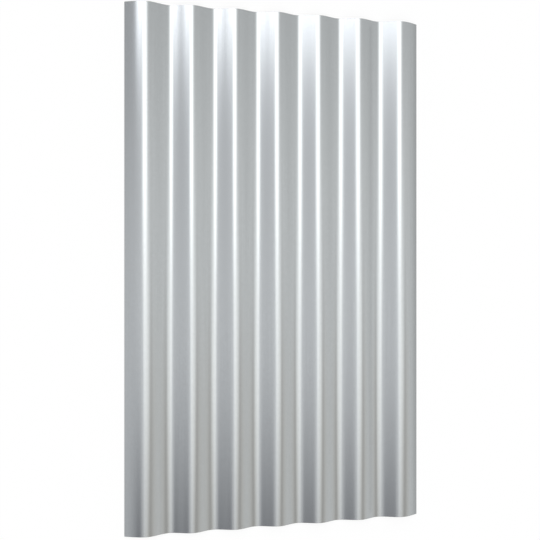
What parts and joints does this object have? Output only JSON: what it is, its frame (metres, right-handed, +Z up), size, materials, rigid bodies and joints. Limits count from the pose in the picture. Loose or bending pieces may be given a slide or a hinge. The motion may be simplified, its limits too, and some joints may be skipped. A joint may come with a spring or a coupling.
{
  "type": "corrugated metal sheet",
  "caption": "Rectangular sheet of thin galvanised steel, roll-formed into rounded waves along its length, with a taller lap corrugation beside each long edge.",
  "frame": {"origin": "middle of the sheet, at the level of the undersides of its troughs, where it rests", "axes": "+Z up out of the upper face, +Y along the corrugations, +X across them"},
  "size_m": [0.3602, 0.6, 0.011],
  "materials": {
    "galvanised_steel": "smooth satin zinc coating, cool light grey, with faint lengthwise rolling lines"
  },
  "bodies": {
    "root": {"corrugated_sheet": "galvanised_steel"}
  },
  "joints": []
}
